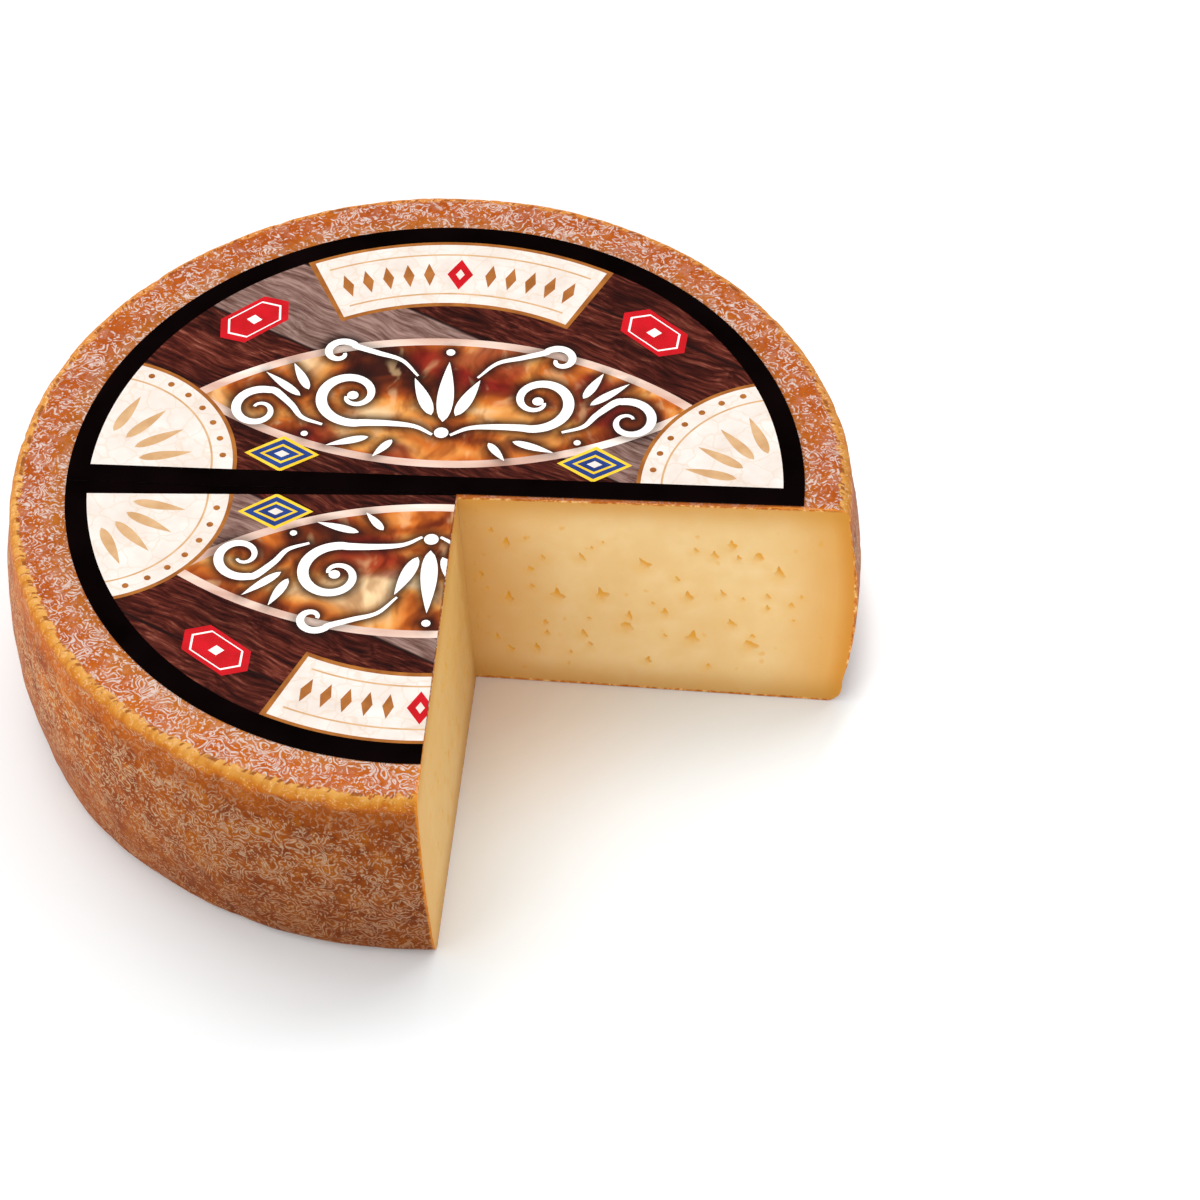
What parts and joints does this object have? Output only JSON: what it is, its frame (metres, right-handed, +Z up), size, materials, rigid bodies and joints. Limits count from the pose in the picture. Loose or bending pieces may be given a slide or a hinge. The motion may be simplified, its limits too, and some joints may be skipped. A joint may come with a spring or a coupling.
{
  "type": "raclette cheese wheel with a quarter cut out",
  "caption": "Round, bulging wheel of semi-hard washed-rind melting cheese with a quarter cut out, its pale cut faces showing small eyes, under paper labels in the shape of half discs.",
  "frame": {"origin": "on the wheel's own axis, at its flat bottom face", "axes": "+Z up along the wheel's axis; the missing quarter lies between +X and -Y, its far cut face runs along +X and its near cut face along -Y"},
  "size_m": [0.2836, 0.2836, 0.0777],
  "materials": {
    "cheese": "semi-hard cheese: orange washed rind under fine pale mould, cream-yellow paste with small eyes on the cut faces",
    "label_whole": "printed satin paper: black border, dark wood field, cream panels, white scrollwork",
    "label_sliced": "printed satin paper, sliced through with the cheese"
  },
  "bodies": {
    "root": {"cheese_wheel": "cheese", "label_far_half": "label_whole", "label_near_rest": "label_sliced"}
  },
  "joints": []
}
